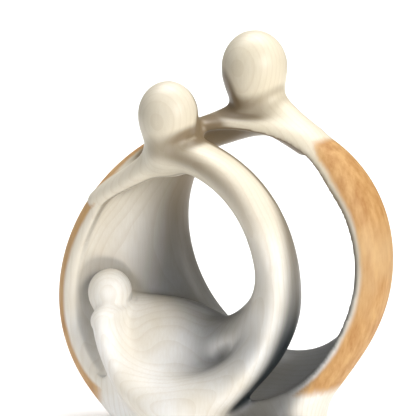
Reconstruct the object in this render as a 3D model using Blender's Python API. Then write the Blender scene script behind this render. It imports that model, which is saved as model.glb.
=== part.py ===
"""A holy family group carved from one slice of a branch.

The group stands on its flat underside with its front towards -Y. The slice of branch is a leaning
oval that is opened up from the front: a bowl on the left narrows to an oval opening at the back,
and a thin wall is left all round. A tall blank-faced figure rises from the top of the wall. A
smaller one stands before it on the left. One of its arms leaves the wall, sweeps down in front of
the opening and curls in under it, where it becomes a lap and the body of a small child.

The surface is one distance field, negative inside the wood, that a node tree works out and
meshes. Lengths are in metres and angles in degrees. The pose, the proportions and the carving are
shares of the height; walls, faces, roundings and the base are sizes of their own.
"""
import bpy
import math
from mathutils import Vector

# Sizes
HEIGHT = 0.2445              # ground to the tall figure's crown
RIM = 0.0045                 # wall left at the front edge
FACE_ROUND = 0.008           # rounding of the front face
RIM_ROUND = 0.005            # rounding of the inner edge of the rim
LIP_ROUND = 0.022            # rounding of the lip where the bowl meets the back face
BASE_LENGTH = 0.108
BASE_DEPTH = 0.070
BASE_HEIGHT = 0.014
BASE_ROUND = 0.010
BASE_BLEND = 0.055           # height over which the branch flows into the base
CELL = 0.0016                # cell of the grid that the form is worked out on
FACES_KEPT = 0.055           # share of the faces left after simplifying

# Slice of branch, as shares of the height
BRANCH_LONG = 0.9121
BRANCH_SHORT = 0.7566
BRANCH_DEPTH = 0.3926
BRANCH_CENTRE = (-0.0286, 0.0000, 0.3959)
BRANCH_LEAN = 38.0           # the long axis rises to the right
BRANCH_RECESS = 0.0348       # how much further back the upper right of the branch lies
BRANCH_RECESS_SPAN = (0.0409, 0.3476)
FRONT_FACE = -0.0859         # carved front face at the sides
FRONT_RECESS = 0.0573        # how much further back that face lies at the top
RECESS_START = 0.511         # level where the front face starts to lean back
RECESS_END = 0.777
BACK_FACE = 0.1513
BACK_OPENING_LONG = 0.5521
BACK_OPENING_SHORT = 0.4376
BACK_OPENING_CENTRE = (0.0757, 0.4847)
BACK_OPENING_LEAN = -64.0    # the long axis falls to the right
BOWL_CURVE = 0.9             # 1 gives a straight funnel, less narrows it sooner

# Tall figure
TALL_HEAD_CENTRE = (0.0405, 0.0589, 0.9125)
TALL_HEAD_WIDTH = 0.1571
TALL_HEAD_ABOVE = 0.0875     # widest level to the crown
TALL_HEAD_BELOW = 0.1072     # widest level to the chin
TALL_RIGHT_ARM = (((0.0491, 0.0695, 0.8303), 0.0532), ((0.1800, 0.0409, 0.7485), 0.0368))
TALL_LEFT_ARM = (((0.0368, 0.0654, 0.7975), 0.0470), ((-0.0900, 0.0409, 0.7403), 0.0348))

# Small figure
SMALL_HEAD_CENTRE = (-0.1194, -0.0826, 0.8049)
SMALL_HEAD_WIDTH = 0.1423
SMALL_HEAD_ABOVE = 0.0802
SMALL_HEAD_BELOW = 0.0933
SMALL_NECK = (((-0.1186, -0.0450, 0.7648), 0.0524), ((-0.1227, -0.0573, 0.7117), 0.0532))
SMALL_SHOULDER = (((-0.1227, -0.0736, 0.7117), 0.0389), ((-0.3272, -0.0654, 0.5869), 0.0074))

# Child
CHILD_HEAD_CENTRE = (-0.2953, -0.0532, 0.3566)
CHILD_HEAD_WIDTH = 0.1080
CHILD_HEAD_ABOVE = 0.0564
CHILD_HEAD_BELOW = 0.0675
LAP_CENTRE = (-0.1554, -0.0041, 0.2045)
LAP_RADII = (0.1881, 0.0900, 0.1391)
CREST_LOW = (-0.0818, 0.0123, 0.2515)  # the far edge of the lap hangs from here
CREST_THICK = 0.0470         # half its thickness
CREST_SPAN = (-0.2945, 0.1391)
CREST_RISE_LEFT = 1.12       # how fast it rises to either side
CREST_RISE_RIGHT = 2.57
CREST_FORWARD = 0.55         # how fast it comes forward to the arm
CHILD_BACK_CENTRE = (-0.2454, 0.0164, 0.2127)
CHILD_BACK_RADII = (0.0818, 0.0573, 0.0982)

# Sweeping arm of the small figure. Its turn is measured clockwise from straight up
ARM_CENTRE = (-0.1243, -0.0695, 0.4074)
ARM_DEEPEN = 1.5             # front to back the arm is this much thicker than across
ARM_WIDEN = 1.10             # the sweep is an oval, wider than high
ARM_SHOULDER_RADIUS = 0.3190
ARM_RADIUS = 0.2748
ARM_SHOULDER_SPAN = (-25.0, 85.0)
ARM_CURL_START = 189.0
ARM_CURL = 0.00229           # drawn in for each degree after the start of the curl
ARM_CURL_EASE = 16.0
ARM_END = 231.0
ARM_SHOULDER_THICK = 0.0417  # half the thickness at the shoulder
ARM_THICK = 0.0442           # half the thickness at the elbow
ARM_THICK_SPAN = (10.0, 90.0)
CHILD_THICK = 0.0389         # half the thickness of the wrapped child
CHILD_THICK_SPAN = (110.0, 180.0)
ARM_FORWARD = 0.0409         # how far the sweep bows out in front
ARM_FORWARD_SPAN = (0.0, 90.0)
ARM_RETURN_START = 150.0     # from here it comes half way back

# Softness of the joins, as shares of the height
LAP_BLEND = 0.0736
CREST_BLEND = 0.0818
ARM_BLEND = 0.035
FIGURE_BLEND = 0.045
SMALL_HEAD_BLEND = 0.033
TALL_HEAD_BLEND = 0.041
CHILD_HEAD_BLEND = 0.016


def shares(values):
    """Real sizes from one share of the height or from several."""
    if isinstance(values, (tuple, list)):
        return [shares(value) for value in values]
    return values * HEIGHT


def add(tree, kind, *sources, **settings):
    """Adds one node, sets it up, feeds its inputs in order and gives it back."""
    node = tree.nodes.new(kind)
    for name, setting in settings.items():
        setattr(node, name, setting)
    for socket, source in zip(node.inputs, sources):
        source = source.socket if isinstance(source, Value) else source
        if isinstance(source, bpy.types.NodeSocket):
            tree.links.new(source, socket)
        else:
            socket.default_value = source
    return node


class Value:
    """A number that varies over space, so that the form below reads as plain formulas."""

    def __init__(self, socket):
        self.socket = socket

    def node(self, kind, *sources, **settings):
        return Value(add(self.socket.id_data, kind, self, *sources, **settings).outputs[0])

    def calculate(self, operation, *others):
        return self.node("ShaderNodeMath", *others, operation=operation)

    def __add__(self, other):
        return self.calculate("ADD", other)

    def __sub__(self, other):
        return self.calculate("SUBTRACT", other)

    def __mul__(self, other):
        return self.calculate("MULTIPLY", other)

    def __truediv__(self, other):
        return self.calculate("DIVIDE", other)

    def __pow__(self, power):
        return self.calculate("POWER", power)

    def __neg__(self):
        return self.calculate("MULTIPLY", -1.0)

    def ease(self, span, low=0.0, high=1.0):
        """Goes smoothly from low to high while this value goes through the span."""
        return self.node("ShaderNodeMapRange", *span, low, high, interpolation_type="SMOOTHSTEP")

    def between(self, low, high):
        return self.node("ShaderNodeClamp", low, high)


def length(*parts):
    total = parts[0] * parts[0]
    for part in parts[1:]:
        total = total + part * part
    return total.calculate("SQRT")


def join(first, second, blend):
    """Both solids, with a soft fillet between them."""
    return first.calculate("SMOOTH_MIN", second, blend)


def overlap(first, second, blend):
    """What both solids share, with a rounded edge."""
    return first.calculate("SMOOTH_MAX", second, blend)


def away(place, centre):
    """How far the place is from a centre, along each axis."""
    return [part - value for part, value in zip(place, centre)]


def turned(across, up, angle):
    """Two offsets as seen along axes that are turned anticlockwise by the angle."""
    cosine = math.cos(math.radians(angle))
    sine = math.sin(math.radians(angle))
    return across * cosine + up * sine, up * cosine - across * sine


def ellipsoid(offsets, radii):
    """Distance to an ellipsoid, or to an oval when it is given two offsets and two radii."""
    near = length(*[part / radius for part, radius in zip(offsets, radii)])
    steep = length(*[part / (radius * radius) for part, radius in zip(offsets, radii)])
    return near * (near - 1.0) / steep


def egg(place, centre, width, above, below):
    """Distance to an egg that reaches further below its widest level than above it."""
    x, y, z = away(place, shares(centre))
    level = z.calculate("MAXIMUM", 0.0) + z.calculate("MINIMUM", 0.0) * (above / below)
    return ellipsoid((x, y, level), shares((width / 2, width / 2, above)))


def limb(place, ends):
    """Distance to a straight tapered limb with round ends."""
    (start, start_radius), (end, end_radius) = shares(ends)
    along = Vector(end) - Vector(start)
    x, y, z = away(place, start)
    share = (x * along.x + y * along.y + z * along.z) / along.length_squared
    share = share.between(0.0, 1.0)
    gaps = [part - share * step for part, step in zip((x, y, z), along)]
    return length(*gaps) - (share * (end_radius - start_radius) + start_radius)


def hollow_branch(place):
    """The slice of branch with both faces cut and with the bowl and opening taken out."""
    x, y, z = place
    across, forward, up = away(place, shares(BRANCH_CENTRE))
    along, rise = turned(across, up, BRANCH_LEAN)
    set_back = along.ease(shares(BRANCH_RECESS_SPAN), 0.0, shares(BRANCH_RECESS))
    forward = forward - set_back
    radii = shares((BRANCH_LONG / 2, BRANCH_DEPTH / 2, BRANCH_SHORT / 2))
    branch = ellipsoid((along, forward, rise), radii)

    front = shares(FRONT_FACE)
    back = shares(BACK_FACE)
    recess = z.ease(shares((RECESS_START, RECESS_END)), 0.0, shares(FRONT_RECESS))
    face = recess.calculate("MAXIMUM", set_back) + front
    body = overlap(branch, face - y, FACE_ROUND)

    inner_wall = branch + RIM
    opening_x, opening_z = shares(BACK_OPENING_CENTRE)
    tall_way, flat_way = turned(x - opening_x, z - opening_z, BACK_OPENING_LEAN)
    back_oval = ellipsoid((tall_way, flat_way),
                          shares((BACK_OPENING_LONG / 2, BACK_OPENING_SHORT / 2)))
    depth = ((y - face) / (-face + back)).between(0.0, 1.0) ** BOWL_CURVE
    opening = inner_wall + (back_oval - inner_wall) * depth
    body = overlap(body, -opening, RIM_ROUND)
    return overlap(body, y - back, LIP_ROUND)


def sweeping_arm(place):
    """The arm, a tube that follows an oval and then curls in to the child's neck."""
    x, y, z = away(place, shares(ARM_CENTRE))
    across = x / ARM_WIDEN
    # The turn jumps where no part of the arm lies, at the upper left
    jump = 100.0
    turned_across, turned_up = turned(across, z, -jump)
    turn = turned_across.calculate("ARCTAN2", turned_up) * math.degrees(1.0) + jump
    turn = turn.between(0.0, ARM_END)
    curl = (turn - ARM_CURL_START).calculate("SMOOTH_MAX", 0.0, ARM_CURL_EASE)
    radius = turn.ease(ARM_SHOULDER_SPAN, *shares((ARM_SHOULDER_RADIUS, ARM_RADIUS)))
    radius = radius - curl * shares(ARM_CURL)
    thick = turn.ease(ARM_THICK_SPAN, *shares((ARM_SHOULDER_THICK, ARM_THICK)))
    thick = thick + turn.ease(CHILD_THICK_SPAN, 0.0, shares(CHILD_THICK - ARM_THICK))
    bow = turn.ease(ARM_FORWARD_SPAN, 0.0, shares(ARM_FORWARD))
    bow = bow - turn.ease((ARM_RETURN_START, ARM_END), 0.0, shares(ARM_FORWARD / 2))
    radians = turn * math.radians(1.0)
    line_across = radians.calculate("SINE") * radius
    line_up = radians.calculate("COSINE") * radius
    return length(across - line_across, z - line_up, (y + bow) / ARM_DEEPEN) - thick


def crest(place):
    """The far edge of the lap, a tube that hangs between the left wall and the arm."""
    x, y, z = away(place, shares(CREST_LOW))
    start, end = [shares(value - CREST_LOW[0]) for value in CREST_SPAN]
    across = x.between(start, end)
    left = across.calculate("MINIMUM", 0.0)
    right = across.calculate("MAXIMUM", 0.0)
    rise = (left * left * CREST_RISE_LEFT + right * right * CREST_RISE_RIGHT) / HEIGHT
    gaps = x - across, y + right * CREST_FORWARD, z - rise
    return length(*gaps) - shares(CREST_THICK)


def base(place):
    """The low base, an upright oval with a rounded top edge."""
    x, y, z = place
    side = ellipsoid((x, y), (BASE_LENGTH / 2, BASE_DEPTH / 2))
    return overlap(side, z - BASE_HEIGHT, BASE_ROUND)


def form(place):
    """The whole carving as one distance."""
    soft = shares(LAP_BLEND)
    lap = ellipsoid(away(place, shares(LAP_CENTRE)), shares(LAP_RADII))
    lap = join(lap, crest(place), shares(CREST_BLEND))
    child_back = ellipsoid(away(place, shares(CHILD_BACK_CENTRE)), shares(CHILD_BACK_RADII))
    lap = join(join(lap, child_back, soft), sweeping_arm(place), soft)
    body = join(hollow_branch(place), lap, shares(ARM_BLEND))

    blend = shares(FIGURE_BLEND)
    body = join(body, join(limb(place, SMALL_SHOULDER), limb(place, SMALL_NECK), blend), blend)
    small_head = egg(place, SMALL_HEAD_CENTRE, SMALL_HEAD_WIDTH, SMALL_HEAD_ABOVE, SMALL_HEAD_BELOW)
    body = join(body, small_head, shares(SMALL_HEAD_BLEND))

    body = join(body, join(limb(place, TALL_LEFT_ARM), limb(place, TALL_RIGHT_ARM), blend), blend)
    tall_head = egg(place, TALL_HEAD_CENTRE, TALL_HEAD_WIDTH, TALL_HEAD_ABOVE, TALL_HEAD_BELOW)
    body = join(body, tall_head, shares(TALL_HEAD_BLEND))

    child_head = egg(place, CHILD_HEAD_CENTRE, CHILD_HEAD_WIDTH, CHILD_HEAD_ABOVE, CHILD_HEAD_BELOW)
    body = join(body, child_head, shares(CHILD_HEAD_BLEND))
    return join(body, base(place), BASE_BLEND)


def grid_box():
    """A box round the whole form, with room on every side."""
    room = 6 * CELL
    reach = shares(max(BRANCH_LONG, BRANCH_SHORT) / 2)
    across, forward, up = shares(BRANCH_CENTRE)
    bow = shares(ARM_CENTRE[1] - ARM_FORWARD - ARM_THICK * ARM_DEEPEN)
    half = max(reach + abs(across), BASE_LENGTH / 2) + room
    front = min(bow, -BASE_DEPTH / 2, -shares(BRANCH_DEPTH / 2)) - room
    behind = max(shares(BACK_FACE), BASE_DEPTH / 2) + room
    crown = shares(TALL_HEAD_CENTRE[2] + TALL_HEAD_ABOVE)
    return (-half, front, -room), (half, behind, max(crown, up + reach) + room)


def form_tree(material):
    """The node tree that works out the form and meshes it."""
    tree = bpy.data.node_groups.new("holy family form", "GeometryNodeTree")
    tree.interface.new_socket(name="Geometry", in_out="INPUT", socket_type="NodeSocketGeometry")
    tree.interface.new_socket(name="Geometry", in_out="OUTPUT", socket_type="NodeSocketGeometry")
    position = add(tree, "GeometryNodeInputPosition")
    parts = add(tree, "ShaderNodeSeparateXYZ", position.outputs[0])
    inside = -form([Value(socket) for socket in parts.outputs])
    low, high = grid_box()
    counts = [round((top - bottom) / CELL) + 1 for bottom, top in zip(low, high)]
    volume = add(tree, "GeometryNodeVolumeCube", inside, -1.0, low, high, *counts)
    surface = add(tree, "GeometryNodeVolumeToMesh", volume.outputs[0], resolution_mode="GRID")
    surface.inputs["Threshold"].default_value = 0.0
    smooth = add(tree, "GeometryNodeSetShadeSmooth", surface.outputs[0])
    finish = add(tree, "GeometryNodeSetMaterial", smooth.outputs[0])
    finish.inputs["Material"].default_value = material
    add(tree, "NodeGroupOutput", finish.outputs[0])
    return tree


def wood():
    """Pale close-grained wood, sanded and waxed to a satin."""
    material = bpy.data.materials.new("limewood")
    material.use_nodes = True
    shader = material.node_tree.nodes["Principled BSDF"]
    shader.inputs["Base Color"].default_value = (0.80, 0.72, 0.58, 1.0)
    shader.inputs["Roughness"].default_value = 0.42
    shader.inputs["Metallic"].default_value = 0.0
    return material


def ground_cutter():
    """A block whose top face is the ground, which cuts the underside flat."""
    width = 2 * HEIGHT
    depth = HEIGHT / 2
    bpy.ops.mesh.primitive_cube_add(size=1.0, location=(0.0, 0.0, -depth / 2))
    cutter = bpy.context.object
    cutter.name = "ground_cutter"
    cutter.scale = (width, width, depth)
    cutter.hide_render = True
    cutter.display_type = "WIRE"
    return cutter


def carving():
    """The carving, one closed body that is cut flat underneath."""
    material = wood()
    figure = bpy.data.objects.new("holy_family_carving", bpy.data.meshes.new("holy family"))
    figure.data.materials.append(material)
    bpy.context.scene.collection.objects.link(figure)
    nodes = figure.modifiers.new("form", "NODES")
    nodes.node_group = form_tree(material)
    simplify = figure.modifiers.new("fewer faces", "DECIMATE")
    simplify.ratio = FACES_KEPT
    underside = figure.modifiers.new("flat underside", "BOOLEAN")
    underside.operation = "DIFFERENCE"
    underside.solver = "EXACT"
    underside.object = ground_cutter()
    return figure


def centre_over_origin(figure):
    """Moves the carving until the middle of its box lies over the origin."""
    bpy.context.view_layer.update()
    evaluated = figure.evaluated_get(bpy.context.evaluated_depsgraph_get())
    corners = [Vector(corner) for corner in evaluated.bound_box]
    for axis in (0, 1):
        sides = [corner[axis] for corner in corners]
        figure.location[axis] = -(min(sides) + max(sides)) / 2


for leftover in list(bpy.data.objects):
    bpy.data.objects.remove(leftover)
centre_over_origin(carving())
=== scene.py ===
"""A holy family group carved from one slice of a branch, dressed for the camera.

The carving is worked out again on a finer grid than the model's own, with its surface laid
exactly on the form, and is finished as waxed limewood with the branch's own skin left on its
edge. Lengths are in metres and angles in degrees. The pose, the proportions and the carving are
shares of the height; walls, faces, roundings and the base are sizes of their own.
"""
import math

import bmesh
import bpy
from mathutils import Matrix, Vector


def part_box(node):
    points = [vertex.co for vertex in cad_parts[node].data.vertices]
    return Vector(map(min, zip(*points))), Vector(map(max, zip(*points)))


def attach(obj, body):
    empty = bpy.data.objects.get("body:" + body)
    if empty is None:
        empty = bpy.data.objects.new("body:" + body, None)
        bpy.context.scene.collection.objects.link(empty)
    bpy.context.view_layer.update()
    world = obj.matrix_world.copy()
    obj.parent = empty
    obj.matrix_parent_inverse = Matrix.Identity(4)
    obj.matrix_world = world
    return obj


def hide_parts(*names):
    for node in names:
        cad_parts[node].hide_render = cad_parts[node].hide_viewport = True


# Sizes
HEIGHT = 0.2445              # ground to the tall figure's crown
FACE_ROUND = 0.008           # rounding of the front face
RIM_ROUND = 0.005            # rounding of the inner edge of the rim
LIP_ROUND = 0.022            # rounding of the lip where the bowl meets the back face
BASE_ROUND = 0.010           # rounding of the base's top edge
BASE_BLEND = 0.055           # height over which the branch flows into the base
FORM_SIZES = {
    "Cell": 0.00135,             # cell of the grid that the form is worked out on
    "Wall": 0.0045,              # left at the front edge
    "Base length": 0.108,
    "Base depth": 0.070,
    "Base height": 0.014,
}

# Slice of branch, as shares of the height
BRANCH_LONG = 0.9121
BRANCH_SHORT = 0.7566
BRANCH_DEPTH = 0.3926
BRANCH_CENTRE = (-0.0286, 0.0000, 0.3959)
BRANCH_LEAN = 38.0           # the long axis rises to the right
BRANCH_RECESS = 0.0348       # how much further back the upper right of the branch lies
BRANCH_RECESS_SPAN = (0.0409, 0.3476)  # along the long axis, where that step back is made
FRONT_FACE = -0.0859         # carved front face at the sides
FRONT_RECESS = 0.0573        # how much further back that face lies at the top
RECESS_START = 0.511         # level where the front face starts to lean back
RECESS_END = 0.777
BACK_FACE = 0.1513
BACK_OPENING_LONG = 0.5521
BACK_OPENING_SHORT = 0.4376
BACK_OPENING_CENTRE = (0.0757, 0.4847)
BACK_OPENING_LEAN = -64.0    # the long axis falls to the right
BOWL_CURVE = 0.9             # 1 gives a straight funnel, less narrows it sooner

# Tall figure
TALL_HEAD_CENTRE = (0.0405, 0.0589, 0.9125)
TALL_HEAD_WIDTH = 0.1571
TALL_HEAD_ABOVE = 0.0875     # widest level to the crown
TALL_HEAD_BELOW = 0.1072     # widest level to the chin
TALL_RIGHT_ARM = (((0.0491, 0.0695, 0.8303), 0.0532), ((0.1800, 0.0409, 0.7485), 0.0368))
TALL_LEFT_ARM = (((0.0368, 0.0654, 0.7975), 0.0470), ((-0.0900, 0.0409, 0.7403), 0.0348))

# Small figure
SMALL_HEAD_CENTRE = (-0.1194, -0.0826, 0.8049)
SMALL_HEAD_WIDTH = 0.1423
SMALL_HEAD_ABOVE = 0.0802
SMALL_HEAD_BELOW = 0.0933
SMALL_NECK = (((-0.1186, -0.0450, 0.7648), 0.0524), ((-0.1227, -0.0573, 0.7117), 0.0532))
SMALL_SHOULDER = (((-0.1227, -0.0736, 0.7117), 0.0389), ((-0.3272, -0.0654, 0.5869), 0.0115))

# Child
CHILD_HEAD_CENTRE = (-0.2953, -0.0532, 0.3566)
CHILD_HEAD_WIDTH = 0.1080
CHILD_HEAD_ABOVE = 0.0564
CHILD_HEAD_BELOW = 0.0675
LAP_CENTRE = (-0.1554, -0.0041, 0.2045)
LAP_RADII = (0.1881, 0.0900, 0.1391)
CREST_LOW = (-0.0818, 0.0123, 0.2515)  # the far edge of the lap hangs from here
CREST_THICK = 0.0470         # half its thickness
CREST_SPAN = (-0.2945, 0.1391)
CREST_RISE_LEFT = 1.12       # how fast it rises to either side
CREST_RISE_RIGHT = 2.57
CREST_FORWARD = 0.55         # how fast it comes forward to the arm
CHILD_BACK_CENTRE = (-0.2454, 0.0164, 0.2127)
CHILD_BACK_RADII = (0.0818, 0.0573, 0.0982)

# Sweeping arm of the small figure. Its turn is measured clockwise from straight up
ARM_CENTRE = (-0.1243, -0.0695, 0.4074)
ARM_DEEPEN = 1.5             # front to back the arm is this much thicker than across
ARM_WIDEN = 1.10             # the sweep is an oval, wider than high
ARM_SHOULDER_RADIUS = 0.3190
ARM_RADIUS = 0.2748
ARM_SHOULDER_SPAN = (-25.0, 85.0)
ARM_CURL_START = 189.0
ARM_CURL = 0.00229           # drawn in for each degree after the start of the curl
ARM_CURL_EASE = 16.0
ARM_END = 231.0
ARM_SHOULDER_THICK = 0.0417  # half the thickness at the shoulder
ARM_THICK = 0.0442           # half the thickness at the elbow
ARM_THICK_SPAN = (10.0, 90.0)
CHILD_THICK = 0.0389         # half the thickness of the wrapped child
CHILD_THICK_SPAN = (110.0, 180.0)
ARM_FORWARD = 0.0409         # how far the sweep bows out in front
ARM_FORWARD_SPAN = (0.0, 90.0)
ARM_RETURN_START = 150.0     # from here it comes half way back

# Softness of the joins, as shares of the height
LAP_BLEND = 0.0736
CREST_BLEND = 0.0818
ARM_BLEND = 0.035
FIGURE_BLEND = 0.045
SMALL_HEAD_BLEND = 0.033
TALL_HEAD_BLEND = 0.041
CHILD_HEAD_BLEND = 0.016

# Mesh
LAYINGS = 2                  # times that the mesh is moved on to the form
CUT_SLACK = 0.00005          # points this near the ground count as on it
SMALL_FACE = 8               # corners, and only the foot's own flat face has more

# Wood
PITH = (-0.004, -0.150)      # where the middle of the stem ran, upright, in front of the carving
RING_WIDTH = 0.0031          # one year's growth
RING_WANDER = 0.012          # how far the rings stray from true circles
RING_WANDERS_PER_METRE = 14.0
RING_STRENGTH = 0.15
WAVE_REPEAT = 2 * math.pi / 20  # what the wave texture repeats over at a scale of 1
FIBRE_WIDTH = 0.0006         # real fibres are finer, and are drawn this coarse so that they show
FIBRE_FLATTEN = 0.06         # across over along
FIBRE_STRENGTH = 0.20
CLOUDS_PER_METRE = 22.0      # tints about 45 mm across
WARM_LEVELS = (0.080, 0.185)  # the wood and the wax grow warmer between these levels, a painted tint for warm light above and cool light below
SKIN_DEPTH = 0.0014          # how deep the stained outer skin goes
SKIN_RAGGED = 0.0012         # how far its edge strays
BARE_NECK = (0.040, 0.062)   # there is no skin this near the tall figure's neck
STAINS_PER_METRE = 190.0     # about 5 mm wide
STAIN_FLATTEN = 0.22
WOOD_ROUGHNESS = (0.34, 0.42)
SKIN_ROUGHNESS = 0.60
MARKS_PER_METRE = 90.0       # tool marks about a centimetre across
MARK_HEIGHT = 0.0012
FIBRE_HEIGHT = 0.0002

# Painted shade round the opening and on the arm's outer side, and dark wax in the hollows that is partly
# painted shade
SHELTER = ((0.006, 0.40), (0.018, 0.60))  # how far out other wood is felt for, and how much it counts
HOLLOW_WAX_AND_SHADE_START = (0.42, 0.12)  # shelter from which the dark wax and painted shade show, low down and high up
HOLLOW_WAX_AND_SHADE_END = (0.72, 0.40)  # and where it is darkest
HOLLOW_WAX_AND_SHADE_MOST = (0.30, 0.85)
PAINTED_SHADE_SLANT = (0.48, -0.18)  # how much a step to the right or up counts as a step back
PAINTED_SHADE_SPAN = (-0.054, -0.024)
PAINTED_SHADE_TOP = (0.183, 0.200)   # between these levels it ends below the tall head
PAINTED_SHADE_TOP_IN_FRONT = (0.150, 0.200)
PAINTED_SHADE_INSIDE_FACING = (0.05, 0.5)  # how squarely a face looks at the middle of the opening
PAINTED_SHADE_FRONT_FACING = (-0.5, 0.2)
PAINTED_SHADE_BACK_FACING = (0.3, 0.7)  # and how squarely at the back, where it ends
PAINTED_SHADE_MOST = 0.80
PAINTED_SHADE_ARM_SPAN = (-0.038, -0.025)
PAINTED_SHADE_ARM_REACH = (0.004, 0.018)  # outside the arm's own surface
PAINTED_SHADE_ARM_MOST = (1.0, 0.74)  # below and above the levels
PAINTED_SHADE_LEVELS = (0.070, 0.115)

# Camera and light
CAMERA_TURN = 25.0           # round to the right of the front
CAMERA_RISE = 10.0
CAMERA_DISTANCE = 1.0
VIEW_WIDTH = 0.2496          # what the frame takes in at the carving
VIEW_RIGHT = -0.012          # the middle of the frame, along the camera's own axes
VIEW_UP = 0.1392
SENSOR = 36.0                # millimetres
NEAREST_SEEN = 0.01
PAPER_RADIUS = 9.0
PAPER_CORNERS = 96
TOOTH_PER_METRE = 900.0      # real paper's tooth is finer, and is drawn this coarse so that it shows
LAMPS = {
    # place from the camera's right, above and in front, level aimed at, size, watts, tint, spread
    "key": ((0.78, 0.26, 1.05), 0.13, (0.60, 0.60), 14.0, "#FFFBF5", 180.0),
    "low lamp": ((-0.40, 0.04, 1.1), 0.03, (0.25, 0.25), 0.09, "#F2F5FF", 25.0),
}
BACKGROUND_PLACE = (3.0, 1.0)  # behind the carving, and up
BACKGROUND_SIZE = (1.8, 6.2)
BACKGROUND_WATTS = 58.0
BACKGROUND_SPREAD = 80.0
SKY_STRENGTH = 0.12


def shares(values):
    """Real sizes from one share of the height or from several."""
    if isinstance(values, (tuple, list)):
        return [shares(value) for value in values]
    return values * HEIGHT


def add(tree, kind, *sources, **settings):
    """Adds one node, sets it up, feeds its inputs in order or by name and gives it back."""
    node = tree.nodes.new(kind)
    named = settings.pop("named", {})
    for name, setting in settings.items():
        setattr(node, name, setting)
    feeds = list(zip(node.inputs, sources)) + [(node.inputs[name], source) for name, source in named.items()]
    for socket, source in feeds:
        source = source.socket if isinstance(source, Value) else source
        if isinstance(source, bpy.types.NodeSocket):
            tree.links.new(source, socket)
        else:
            socket.default_value = source
    return node


class Value:
    """A number that varies over space, so that the form below reads as plain formulas."""

    def __init__(self, socket):
        self.socket = socket

    def node(self, kind, *sources, **settings):
        return Value(add(self.socket.id_data, kind, self, *sources, **settings).outputs[0])

    def calculate(self, operation, *others):
        return self.node("ShaderNodeMath", *others, operation=operation)

    def __add__(self, other):
        return self.calculate("ADD", other)

    def __sub__(self, other):
        return self.calculate("SUBTRACT", other)

    def __mul__(self, other):
        return self.calculate("MULTIPLY", other)

    def __truediv__(self, other):
        return self.calculate("DIVIDE", other)

    def __pow__(self, power):
        return self.calculate("POWER", power)

    def __neg__(self):
        return self.calculate("MULTIPLY", -1.0)

    def ease(self, span, low=0.0, high=1.0):
        """Goes smoothly from low to high while this value goes through the span."""
        return self.node("ShaderNodeMapRange", *span, low, high, interpolation_type="SMOOTHSTEP")

    def between(self, low, high):
        return self.node("ShaderNodeClamp", low, high)


def length(*parts):
    """How long a line is, from its steps along each axis."""
    total = parts[0] * parts[0]
    for part in parts[1:]:
        total = total + part * part
    return total.calculate("SQRT")


def join(first, second, blend):
    """Both solids, with a soft fillet between them."""
    return first.calculate("SMOOTH_MIN", second, blend)


def overlap(first, second, blend):
    """What both solids share, with a rounded edge."""
    return first.calculate("SMOOTH_MAX", second, blend)


def away(place, centre):
    """How far the place is from a centre, along each axis."""
    return [part - value for part, value in zip(place, centre)]


def turned(across, up, angle):
    """Two offsets as seen along axes that are turned anticlockwise by the angle."""
    cosine = math.cos(math.radians(angle))
    sine = math.sin(math.radians(angle))
    return across * cosine + up * sine, up * cosine - across * sine


def ellipsoid(offsets, radii):
    """Distance to an ellipsoid, or to an oval when it is given two offsets and two radii."""
    near = length(*[part / radius for part, radius in zip(offsets, radii)])
    steep = length(*[part / (radius * radius) for part, radius in zip(offsets, radii)])
    return near * (near - 1.0) / steep


def egg(place, centre, width, above, below):
    """Distance to an egg that reaches further below its widest level than above it."""
    x, y, z = away(place, shares(centre))
    level = z.calculate("MAXIMUM", 0.0) + z.calculate("MINIMUM", 0.0) * (above / below)
    return ellipsoid((x, y, level), shares((width / 2, width / 2, above)))


def limb(place, ends):
    """Distance to a straight tapered limb with round ends."""
    (start, start_radius), (end, end_radius) = shares(ends)
    along = Vector(end) - Vector(start)
    x, y, z = away(place, start)
    share = (x * along.x + y * along.y + z * along.z) / along.length_squared
    share = share.between(0.0, 1.0)
    gaps = [part - share * step for part, step in zip((x, y, z), along)]
    return length(*gaps) - (share * (end_radius - start_radius) + start_radius)


def whole_branch(place):
    """The branch as it grew, and how far back its upper right lies."""
    across, forward, up = away(place, shares(BRANCH_CENTRE))
    along, rise = turned(across, up, BRANCH_LEAN)
    set_back = along.ease(shares(BRANCH_RECESS_SPAN), 0.0, shares(BRANCH_RECESS))
    forward = forward - set_back
    radii = shares((BRANCH_LONG / 2, BRANCH_DEPTH / 2, BRANCH_SHORT / 2))
    return ellipsoid((along, forward, rise), radii), set_back


def hollow_branch(place, branch, set_back, wall):
    """The branch with both faces cut and with the bowl and opening taken out."""
    x, y, z = place
    front = shares(FRONT_FACE)
    back = shares(BACK_FACE)
    recess = z.ease(shares((RECESS_START, RECESS_END)), 0.0, shares(FRONT_RECESS))
    face = recess.calculate("SMOOTH_MAX", set_back, FACE_ROUND / 2) + front
    body = overlap(branch, face - y, FACE_ROUND)

    inner_wall = branch + wall
    opening_x, opening_z = shares(BACK_OPENING_CENTRE)
    tall_way, flat_way = turned(x - opening_x, z - opening_z, BACK_OPENING_LEAN)
    back_oval = ellipsoid((tall_way, flat_way),
                          shares((BACK_OPENING_LONG / 2, BACK_OPENING_SHORT / 2)))
    depth = ((y - face) / (-face + back)).between(0.0, 1.0) ** BOWL_CURVE
    opening = inner_wall + (back_oval - inner_wall) * depth
    body = overlap(body, -opening, RIM_ROUND)
    return overlap(body, y - back, LIP_ROUND)


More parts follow.
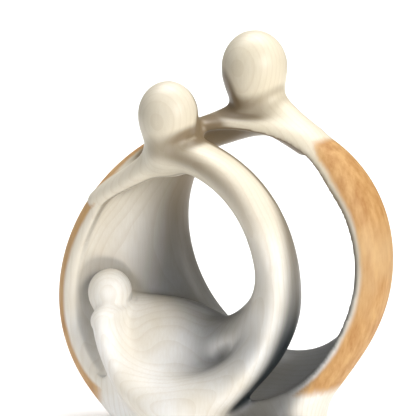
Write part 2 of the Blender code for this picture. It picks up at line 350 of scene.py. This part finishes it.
def sweeping_arm(place):
    """The arm, a tube that follows an oval and then curls in to the child's neck."""
    x, y, z = away(place, shares(ARM_CENTRE))
    across = x / ARM_WIDEN
    # The angle jumps from one end of its range to the other at the upper left, where no part of the arm lies
    jump = 100.0
    turned_across, turned_up = turned(across, z, -jump)
    turn = turned_across.calculate("ARCTAN2", turned_up) * math.degrees(1.0) + jump
    turn = turn.between(0.0, ARM_END)
    curl = (turn - ARM_CURL_START).calculate("SMOOTH_MAX", 0.0, ARM_CURL_EASE)
    radius = turn.ease(ARM_SHOULDER_SPAN, *shares((ARM_SHOULDER_RADIUS, ARM_RADIUS)))
    radius = radius - curl * shares(ARM_CURL)
    thick = turn.ease(ARM_THICK_SPAN, *shares((ARM_SHOULDER_THICK, ARM_THICK)))
    thick = thick + turn.ease(CHILD_THICK_SPAN, 0.0, shares(CHILD_THICK - ARM_THICK))
    bow = turn.ease(ARM_FORWARD_SPAN, 0.0, shares(ARM_FORWARD))
    bow = bow - turn.ease((ARM_RETURN_START, ARM_END), 0.0, shares(ARM_FORWARD / 2))
    radians = turn * math.radians(1.0)
    line_across = radians.calculate("SINE") * radius
    line_up = radians.calculate("COSINE") * radius
    return length(across - line_across, z - line_up, (y + bow) / ARM_DEEPEN) - thick


def crest(place):
    """The far edge of the lap, a tube that hangs between the left wall and the arm."""
    x, y, z = away(place, shares(CREST_LOW))
    start, end = [shares(value - CREST_LOW[0]) for value in CREST_SPAN]
    across = x.between(start, end)
    left = across.calculate("MINIMUM", 0.0)
    right = across.calculate("MAXIMUM", 0.0)
    rise = (left * left * CREST_RISE_LEFT + right * right * CREST_RISE_RIGHT) / HEIGHT
    gaps = x - across, y + right * CREST_FORWARD, z - rise
    return length(*gaps) - shares(CREST_THICK)


def base(place, foot):
    """The low base, an upright oval with a rounded top edge."""
    x, y, z = place
    long_way, deep_way, high = foot
    side = ellipsoid((x, y), (long_way / 2, deep_way / 2))
    return overlap(side, z - high, BASE_ROUND)


def form(place, hollow, foot):
    """The whole carving as one distance."""
    soft = shares(LAP_BLEND)
    lap = ellipsoid(away(place, shares(LAP_CENTRE)), shares(LAP_RADII))
    lap = join(lap, crest(place), shares(CREST_BLEND))
    child_back = ellipsoid(away(place, shares(CHILD_BACK_CENTRE)), shares(CHILD_BACK_RADII))
    lap = join(join(lap, child_back, soft), sweeping_arm(place), soft)
    body = join(hollow, lap, shares(ARM_BLEND))

    blend = shares(FIGURE_BLEND)
    body = join(body, join(limb(place, SMALL_SHOULDER), limb(place, SMALL_NECK), blend), blend)
    small_head = egg(place, SMALL_HEAD_CENTRE, SMALL_HEAD_WIDTH, SMALL_HEAD_ABOVE, SMALL_HEAD_BELOW)
    body = join(body, small_head, shares(SMALL_HEAD_BLEND))

    body = join(body, join(limb(place, TALL_LEFT_ARM), limb(place, TALL_RIGHT_ARM), blend), blend)
    tall_head = egg(place, TALL_HEAD_CENTRE, TALL_HEAD_WIDTH, TALL_HEAD_ABOVE, TALL_HEAD_BELOW)
    body = join(body, tall_head, shares(TALL_HEAD_BLEND))

    child_head = egg(place, CHILD_HEAD_CENTRE, CHILD_HEAD_WIDTH, CHILD_HEAD_ABOVE, CHILD_HEAD_BELOW)
    body = join(body, child_head, shares(CHILD_HEAD_BLEND))
    return join(body, base(place, foot), BASE_BLEND)


def grid_box():
    """A box round the whole form, with room on every side."""
    room = 6 * FORM_SIZES["Cell"]
    reach = shares(max(BRANCH_LONG, BRANCH_SHORT) / 2)
    across, forward, up = shares(BRANCH_CENTRE)
    bow = shares(ARM_CENTRE[1] - ARM_FORWARD - ARM_THICK * ARM_DEEPEN)
    half = max(reach + abs(across), FORM_SIZES["Base length"] / 2) + room
    front = min(bow, -FORM_SIZES["Base depth"] / 2, -shares(BRANCH_DEPTH / 2)) - room
    behind = max(shares(BACK_FACE), FORM_SIZES["Base depth"] / 2) + room
    crown = shares(TALL_HEAD_CENTRE[2] + TALL_HEAD_ABOVE)
    return (-half, front, -room), (half, behind, max(crown, up + reach) + room)


def store(tree, surface, name, value, data_type="FLOAT"):
    """Keeps a value on each point of the surface under a name."""
    return add(tree, "GeometryNodeStoreNamedAttribute", surface, domain="POINT", data_type=data_type,
               named={"Name": name, "Value": value}).outputs[0]


def smoke(place, facing):
    """How much painted shade a place gets: the more, the further back and to the right it lies, on
    the arm and on whatever faces the opening."""
    x, y, z = place
    nx, ny, nz = facing
    back = y + x * PAINTED_SHADE_SLANT[0] + z * PAINTED_SHADE_SLANT[1]
    across, up = away((x, z), shares(BACK_OPENING_CENTRE))
    towards = -(across * nx + up * nz) / length(across, up)
    inside = towards.ease(PAINTED_SHADE_INSIDE_FACING) * z.ease(PAINTED_SHADE_TOP, 1.0, 0.0)
    in_front = towards.ease(PAINTED_SHADE_FRONT_FACING) * z.ease(PAINTED_SHADE_TOP_IN_FRONT, 1.0, 0.0)
    seen = inside.calculate("MAXIMUM", in_front) * ny.ease(PAINTED_SHADE_BACK_FACING, 1.0, 0.0)
    round_the_opening = back.ease(PAINTED_SHADE_SPAN, 0.0, PAINTED_SHADE_MOST) * seen
    near_the_arm = sweeping_arm(place).ease(PAINTED_SHADE_ARM_REACH, 1.0, 0.0)
    on_the_arm = back.ease(PAINTED_SHADE_ARM_SPAN) * near_the_arm * z.ease(PAINTED_SHADE_LEVELS, *PAINTED_SHADE_ARM_MOST)
    return round_the_opening.calculate("MAXIMUM", on_the_arm)


def form_tree():
    """The node tree that works out the form, meshes it and lays the mesh exactly on the form."""
    tree = bpy.data.node_groups.new("carved family", "GeometryNodeTree")
    tree.interface.new_socket(name="Geometry", in_out="OUTPUT", socket_type="NodeSocketGeometry")
    for name, size in FORM_SIZES.items():
        socket = tree.interface.new_socket(name=name, in_out="INPUT", socket_type="NodeSocketFloat")
        socket.default_value = size
    tree.interface.new_socket(name="Wood", in_out="INPUT", socket_type="NodeSocketMaterial")
    given = add(tree, "NodeGroupInput").outputs
    cell = Value(given["Cell"])
    wall = Value(given["Wall"])
    foot = [Value(given[name]) for name in ("Base length", "Base depth", "Base height")]

    position = add(tree, "GeometryNodeInputPosition")
    place = [Value(part) for part in add(tree, "ShaderNodeSeparateXYZ", position.outputs[0]).outputs]
    branch, set_back = whole_branch(place)
    hollow = hollow_branch(place, branch, set_back, wall)
    off_the_skin = branch.calculate("ABSOLUTE").calculate("MAXIMUM", hollow.calculate("ABSOLUTE"))
    from_neck = length(*away(place, shares(TALL_RIGHT_ARM[0][0])))
    off_the_skin = off_the_skin + from_neck.ease(BARE_NECK, 2 * SKIN_DEPTH, 0.0)
    distance = form(place, hollow, foot)
    low, high = grid_box()
    counts = [(cell ** -1.0) * (top - bottom) + 1.0 for bottom, top in zip(low, high)]
    volume = add(tree, "GeometryNodeVolumeCube", -distance, -1.0, low, high, *counts)
    surface = add(tree, "GeometryNodeVolumeToMesh", volume.outputs[0], resolution_mode="GRID",
                  named={"Threshold": 0.0}).outputs[0]
    normal = add(tree, "GeometryNodeInputNormal").outputs[0]
    for _ in range(LAYINGS):
        push = add(tree, "ShaderNodeVectorMath", normal, operation="SCALE", named={"Scale": -distance})
        surface = add(tree, "GeometryNodeSetPosition", surface, named={"Offset": push.outputs[0]}).outputs[0]
    surface = store(tree, surface, "skin", off_the_skin)
    facing = [Value(part) for part in add(tree, "ShaderNodeSeparateXYZ", normal).outputs]
    # Painted shade on the arm's outer side and on the wall round the opening
    surface = store(tree, surface, "smoke", smoke(place, facing))

    # How closely other wood shelters each place, felt for straight out from the surface; this sets where dark
    # wax and painted shade go in the hollows
    surface = store(tree, surface, "laid", position.outputs[0], "FLOAT_VECTOR")
    surface = store(tree, surface, "outward", normal, "FLOAT_VECTOR")
    surface = store(tree, surface, "shelter", 0.0)
    laid, outward = [add(tree, "GeometryNodeInputNamedAttribute", name, data_type="FLOAT_VECTOR").outputs[0]
                     for name in ("laid", "outward")]
    sheltered = Value(add(tree, "GeometryNodeInputNamedAttribute", "shelter", data_type="FLOAT").outputs[0])
    for reach, weight in SHELTER:
        step = add(tree, "ShaderNodeVectorMath", outward, operation="SCALE", named={"Scale": reach})
        place_out = add(tree, "ShaderNodeVectorMath", laid, step.outputs[0], operation="ADD").outputs[0]
        surface = add(tree, "GeometryNodeSetPosition", surface, named={"Position": place_out}).outputs[0]
        closed = (-distance / reach + 1.0).between(0.0, 1.0) * weight
        surface = store(tree, surface, "shelter", sheltered + closed)
    surface = add(tree, "GeometryNodeSetPosition", surface, named={"Position": laid}).outputs[0]
    for name in ("laid", "outward"):
        surface = add(tree, "GeometryNodeRemoveAttribute", surface, named={"Name": name}).outputs[0]
    surface = add(tree, "GeometryNodeSetShadeSmooth", surface).outputs[0]
    surface = add(tree, "GeometryNodeRealizeInstances", surface).outputs[0]
    finish = add(tree, "GeometryNodeSetMaterial", surface, named={"Material": given["Wood"]})
    add(tree, "NodeGroupOutput", finish.outputs[0])
    return tree


def linear(code):
    """A colour from its sRGB hex code, made linear."""
    parts = [int(code[start:start + 2], 16) / 255 for start in (1, 3, 5)]
    return [part / 12.92 if part <= 0.04045 else ((part + 0.055) / 1.055) ** 2.4 for part in parts] + [1.0]


def waxed_limewood():
    """Limewood, carved, sanded and waxed: pale and even, with faint growth rings where the knife
    crosses them, a satin gloss, and the stem's orange-brown outer skin left where it wasn't cut.
    Dark wax and painted shade darken the hollows, painted shade darkens the wall round the opening
    and the arm's outer side, and painted light makes the wood warmer and darker higher up."""
    material = bpy.data.materials.new("waxed limewood")
    material.use_nodes = True
    tree = material.node_tree
    shader = tree.nodes["Principled BSDF"]
    place = add(tree, "ShaderNodeTexCoord").outputs["Object"]

    # The stem's rings wander a little from true circles
    sway = add(tree, "ShaderNodeTexNoise",
               named={"Vector": place, "Scale": RING_WANDERS_PER_METRE, "Detail": 2.0})
    centred = add(tree, "ShaderNodeMapping", place, named={"Location": (-PITH[0], -PITH[1], 0.0)})
    drift = add(tree, "ShaderNodeVectorMath", sway.outputs["Color"], (0.5, 0.5, 0.5), operation="SUBTRACT")
    drift = add(tree, "ShaderNodeVectorMath", drift.outputs[0], operation="SCALE",
                named={"Scale": RING_WANDER})
    bent = add(tree, "ShaderNodeVectorMath", centred.outputs[0], drift.outputs[0], operation="ADD")
    rings = add(tree, "ShaderNodeTexWave", bent.outputs[0], wave_type="RINGS", rings_direction="Z",
                wave_profile="SAW", named={"Scale": WAVE_REPEAT / RING_WIDTH, "Distortion": 0.6,
                                           "Detail": 1.0, "Detail Scale": 0.4})
    late_wood = add(tree, "ShaderNodeMapRange", rings.outputs["Fac"], 0.55, 1.0, 0.0, 1.0,
                    interpolation_type="SMOOTHSTEP")

    # Fibres run up the stem, many times longer than they are wide: a light and a dark one to each wave
    drawn = add(tree, "ShaderNodeMapping", place, named={"Scale": (1.0, 1.0, FIBRE_FLATTEN)})
    fibres = add(tree, "ShaderNodeTexNoise", named={"Vector": drawn.outputs[0], "Scale": 1 / FIBRE_WIDTH / 2,
                                                    "Detail": 3.0, "Roughness": 0.6})
    clouds = add(tree, "ShaderNodeTexNoise",
                 named={"Vector": place, "Scale": CLOUDS_PER_METRE, "Detail": 3.0})
    warmth = add(tree, "ShaderNodeMapRange", clouds.outputs["Fac"], 0.35, 0.7, 0.0, 1.0)
    # Painted light: the wood is cool and pale low down and warmer and darker high up
    level_up = add(tree, "ShaderNodeSeparateXYZ", place).outputs["Z"]
    high_up = add(tree, "ShaderNodeMapRange", level_up, *WARM_LEVELS, 0.0, 1.0,
                  interpolation_type="SMOOTHSTEP")
    cool_low_warm_high = add(tree, "ShaderNodeMix", high_up.outputs[0], data_type="RGBA",
                   named={"A": linear("#F0EFEC"), "B": linear("#E2D9C3")})
    pale = add(tree, "ShaderNodeMix", warmth.outputs[0], data_type="RGBA",
               named={"A": cool_low_warm_high.outputs["Result"], "B": linear("#DED6C5")})
    ringed = add(tree, "ShaderNodeMath", late_wood.outputs[0], RING_STRENGTH, operation="MULTIPLY")
    grained = add(tree, "ShaderNodeMix", ringed.outputs[0], data_type="RGBA",
                  named={"A": pale.outputs["Result"], "B": linear("#B9A686")})
    streaks = add(tree, "ShaderNodeMapRange", fibres.outputs["Fac"], 0.30, 0.75, 0.0, FIBRE_STRENGTH)
    cut_face = add(tree, "ShaderNodeMix", streaks.outputs[0], data_type="RGBA",
                   named={"A": grained.outputs["Result"], "B": linear("#C8B99C")})

    # The outer skin: orange-brown, streaked along the stem, with paler worn patches
    drawn_out = add(tree, "ShaderNodeMapping", place, named={"Scale": (1.0, 1.0, STAIN_FLATTEN)})
    stains = add(tree, "ShaderNodeTexNoise", named={"Vector": drawn_out.outputs[0], "Scale": STAINS_PER_METRE,
                                                    "Detail": 5.0, "Roughness": 0.62})
    stain = add(tree, "ShaderNodeMapRange", stains.outputs["Fac"], 0.36, 0.66, 0.0, 1.0)
    stained = add(tree, "ShaderNodeMix", stain.outputs[0], data_type="RGBA",
                  named={"A": linear("#C79D66"), "B": linear("#AB7A42")})
    worn = add(tree, "ShaderNodeMapRange", clouds.outputs["Fac"], 0.50, 0.68, 0.0, 0.55)
    outer = add(tree, "ShaderNodeMix", worn.outputs[0], data_type="RGBA",
                named={"A": stained.outputs["Result"], "B": linear("#CDAD80")})
    depth = add(tree, "ShaderNodeAttribute", attribute_name="skin", attribute_type="GEOMETRY")
    ragged = add(tree, "ShaderNodeMath", stains.outputs["Fac"], SKIN_RAGGED, operation="MULTIPLY")
    level = add(tree, "ShaderNodeMath", depth.outputs["Fac"], ragged.outputs[0], operation="ADD")
    skin = add(tree, "ShaderNodeMapRange", level.outputs[0], SKIN_DEPTH, SKIN_DEPTH * 2, 1.0, 0.0,
               interpolation_type="SMOOTHSTEP")
    clean = add(tree, "ShaderNodeMix", skin.outputs[0], data_type="RGBA",
                named={"A": cut_face.outputs["Result"], "B": outer.outputs["Result"]})

    # Dark wax in the hollows that is partly painted shade, and painted shade further back on the arm and
    # round the opening, browner above than below
    shelter = add(tree, "ShaderNodeAttribute", attribute_name="shelter", attribute_type="GEOMETRY")
    start, end, most = [add(tree, "ShaderNodeMapRange", high_up.outputs[0], 0.0, 1.0, *pair).outputs[0]
                        for pair in (HOLLOW_WAX_AND_SHADE_START, HOLLOW_WAX_AND_SHADE_END, HOLLOW_WAX_AND_SHADE_MOST)]
    hollows = add(tree, "ShaderNodeMapRange", shelter.outputs["Fac"], start, end, 0.0, most,
                  interpolation_type="SMOOTHSTEP")
    # Painted shade on the arm's outer side and round the opening
    painted_shade_amount = add(tree, "ShaderNodeAttribute", attribute_name="smoke", attribute_type="GEOMETRY")
    dark = add(tree, "ShaderNodeMath", hollows.outputs[0], painted_shade_amount.outputs["Fac"], operation="MAXIMUM")
    wax_and_shade_colour = add(tree, "ShaderNodeMix", high_up.outputs[0], data_type="RGBA",
              named={"A": linear("#182024"), "B": linear("#6E5836")})
    colour = add(tree, "ShaderNodeMix", dark.outputs[0], data_type="RGBA",
                 named={"A": clean.outputs["Result"], "B": wax_and_shade_colour.outputs["Result"]})
    tree.links.new(colour.outputs["Result"], shader.inputs["Base Color"])

    # Wax gives the cut wood a satin gloss, and the skin stays matt
    roughness = add(tree, "ShaderNodeMapRange", fibres.outputs["Fac"], 0.2, 0.8, *WOOD_ROUGHNESS)
    skin_roughness = add(tree, "ShaderNodeMix", skin.outputs[0], data_type="FLOAT",
                         named={"A": roughness.outputs[0], "B": SKIN_ROUGHNESS})
    tree.links.new(skin_roughness.outputs[0], shader.inputs["Roughness"])

    # Soft tool marks left under the wax, and the fibres themselves
    marks = add(tree, "ShaderNodeTexNoise", named={"Vector": place, "Scale": MARKS_PER_METRE, "Detail": 1.0})
    waves = add(tree, "ShaderNodeBump", named={"Strength": 0.12, "Distance": MARK_HEIGHT,
                                               "Height": marks.outputs["Fac"]})
    grain = add(tree, "ShaderNodeBump", named={"Strength": 0.10, "Distance": FIBRE_HEIGHT,
                                               "Height": fibres.outputs["Fac"], "Normal": waves.outputs[0]})
    tree.links.new(grain.outputs[0], shader.inputs["Normal"])
    shader.inputs["IOR"].default_value = 1.48
    return material


def pale_card():
    """Matt white card, pressed smooth: it has no gloss and only a very faint tooth."""
    material = bpy.data.materials.new("matt white card")
    material.use_nodes = True
    tree = material.node_tree
    shader = tree.nodes["Principled BSDF"]
    place = add(tree, "ShaderNodeTexCoord").outputs["Object"]
    tooth = add(tree, "ShaderNodeTexNoise", named={"Vector": place, "Scale": TOOTH_PER_METRE, "Detail": 2.0})
    shade = add(tree, "ShaderNodeMapRange", tooth.outputs["Fac"], 0.3, 0.7, 0.0, 1.0)
    colour = add(tree, "ShaderNodeMix", shade.outputs[0], data_type="RGBA",
                 named={"A": linear("#F8F8F7"), "B": linear("#F5F5F4")})
    tree.links.new(colour.outputs["Result"], shader.inputs["Base Color"])
    shader.inputs["Roughness"].default_value = 0.9
    return material


def carve(material, low, high):
    """The carving as one plain mesh, cut flat underneath and kept inside the given box, and how far
    it was moved to stand in the middle of it."""
    figure = bpy.data.objects.new("carving form", bpy.data.meshes.new("carving form"))
    bpy.context.scene.collection.objects.link(figure)
    nodes = figure.modifiers.new("form", "NODES")
    nodes.node_group = form_tree()
    sockets = {item.name: item.identifier for item in nodes.node_group.interface.items_tree
               if item.in_out == "INPUT"}
    for name, size in FORM_SIZES.items():
        nodes[sockets[name]] = size
    nodes[sockets["Wood"]] = material
    bpy.context.view_layer.update()
    graph = bpy.context.evaluated_depsgraph_get()
    mesh = bpy.data.meshes.new_from_object(figure.evaluated_get(graph), depsgraph=graph)
    bpy.data.objects.remove(figure)

    shell = bmesh.new()
    shell.from_mesh(mesh)
    everything = shell.verts[:] + shell.edges[:] + shell.faces[:]
    bmesh.ops.bisect_plane(shell, geom=everything, plane_co=(0, 0, 0), plane_no=(0, 0, -1),
                           clear_outer=True, dist=CUT_SLACK)
    rim = [edge for edge in shell.edges if edge.is_boundary]
    bmesh.ops.contextual_create(shell, geom=rim)
    middle = Vector(((low.x + high.x) / 2, (low.y + high.y) / 2, 0.0))
    for axis in (0, 1):
        places = [vertex.co[axis] for vertex in shell.verts]
        middle[axis] -= (min(places) + max(places)) / 2
    bmesh.ops.translate(shell, verts=shell.verts, vec=middle)
    for vertex in shell.verts:
        vertex.co = [min(max(place, least), most) for place, least, most in zip(vertex.co, low, high)]
    shell.to_mesh(mesh)
    shell.free()
    mesh.polygons.foreach_set("use_smooth", [len(face.vertices) <= SMALL_FACE for face in mesh.polygons])
    mesh.name = "holy_family"
    carving = bpy.data.objects.new("holy_family", mesh)
    bpy.context.scene.collection.objects.link(carving)
    return carving, middle


def paper(material):
    """A wide round sheet of paper on the floor."""
    shell = bmesh.new()
    bmesh.ops.create_circle(shell, cap_ends=True, segments=PAPER_CORNERS, radius=PAPER_RADIUS)
    mesh = bpy.data.meshes.new("floor")
    shell.to_mesh(mesh)
    shell.free()
    mesh.materials.append(material)
    floor = bpy.data.objects.new("floor", mesh)
    bpy.context.scene.collection.objects.link(floor)
    return floor


def camera_axes():
    """The camera's right, up and forward directions."""
    turn, rise = math.radians(CAMERA_TURN), math.radians(CAMERA_RISE)
    right = Vector((math.cos(turn), math.sin(turn), 0.0))
    forward = Vector((-math.sin(turn) * math.cos(rise), math.cos(turn) * math.cos(rise), -math.sin(rise)))
    return right, right.cross(forward), forward


def aim(item, eye, forward, up):
    """Puts a camera or a lamp at the eye, looking forward."""
    right = forward.cross(up).normalized()
    turn = Matrix((right, right.cross(forward), -forward)).transposed().to_4x4()
    turn.translation = eye
    item.matrix_world = turn


def set_camera(middle):
    """The camera, to the right of the front and a little above, looking down at the carving."""
    right, up, forward = camera_axes()
    target = right * VIEW_RIGHT + up * VIEW_UP + middle
    data = bpy.data.cameras.new("camera")
    data.sensor_width = SENSOR
    data.lens = SENSOR * CAMERA_DISTANCE / VIEW_WIDTH
    data.clip_start = NEAREST_SEEN
    camera = bpy.data.objects.new("camera", data)
    bpy.context.scene.collection.objects.link(camera)
    aim(camera, target - forward * CAMERA_DISTANCE, forward, up)
    bpy.context.scene.camera = camera


def lamp(name, eye, forward, up, size, watts, tint, spread):
    """A soft rectangular studio lamp."""
    data = bpy.data.lights.new(name, "AREA")
    data.shape = "RECTANGLE"
    data.size, data.size_y = size
    data.energy = watts
    data.color = linear(tint)[:3]
    data.spread = math.radians(spread)
    item = bpy.data.objects.new(name, data)
    bpy.context.scene.collection.objects.link(item)
    aim(item, eye, forward, up)


def light_studio():
    """The lamps on the carving, one that hangs over the floor behind it, and a weak pale sky."""
    right, up, forward = camera_axes()
    for name, (place, level, size, watts, tint, spread) in LAMPS.items():
        target = Vector((0.0, 0.0, level))
        eye = target + right * place[0] + up * place[1] - forward * place[2]
        lamp(name, eye, (target - eye).normalized(), up, size, watts, tint, spread)

    behind = Vector((forward.x, forward.y, 0.0)).normalized()
    distance, height = BACKGROUND_PLACE
    eye = behind * distance + Vector((0.0, 0.0, height))
    down = Vector((0.0, 0.0, -1.0))
    lamp("background", eye, down, behind, BACKGROUND_SIZE, BACKGROUND_WATTS, "#FFFFFF", BACKGROUND_SPREAD)

    world = bpy.data.worlds.new("studio")
    bpy.context.scene.world = world
    world.use_nodes = True
    sky = world.node_tree.nodes["Background"]
    sky.inputs["Color"].default_value = linear("#F2F5F8")
    sky.inputs["Strength"].default_value = SKY_STRENGTH
    bpy.context.scene.view_settings.view_transform = "Standard"


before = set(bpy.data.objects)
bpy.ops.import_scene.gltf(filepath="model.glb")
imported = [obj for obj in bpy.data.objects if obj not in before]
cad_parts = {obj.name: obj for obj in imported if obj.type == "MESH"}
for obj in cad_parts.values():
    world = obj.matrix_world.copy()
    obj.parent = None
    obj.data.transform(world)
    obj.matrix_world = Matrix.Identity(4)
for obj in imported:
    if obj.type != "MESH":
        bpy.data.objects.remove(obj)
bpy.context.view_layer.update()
low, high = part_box("holy_family_carving")
carving, middle = carve(waxed_limewood(), low, high)
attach(carving, "root")
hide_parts("holy_family_carving")
paper(pale_card())
set_camera(middle)
light_studio()
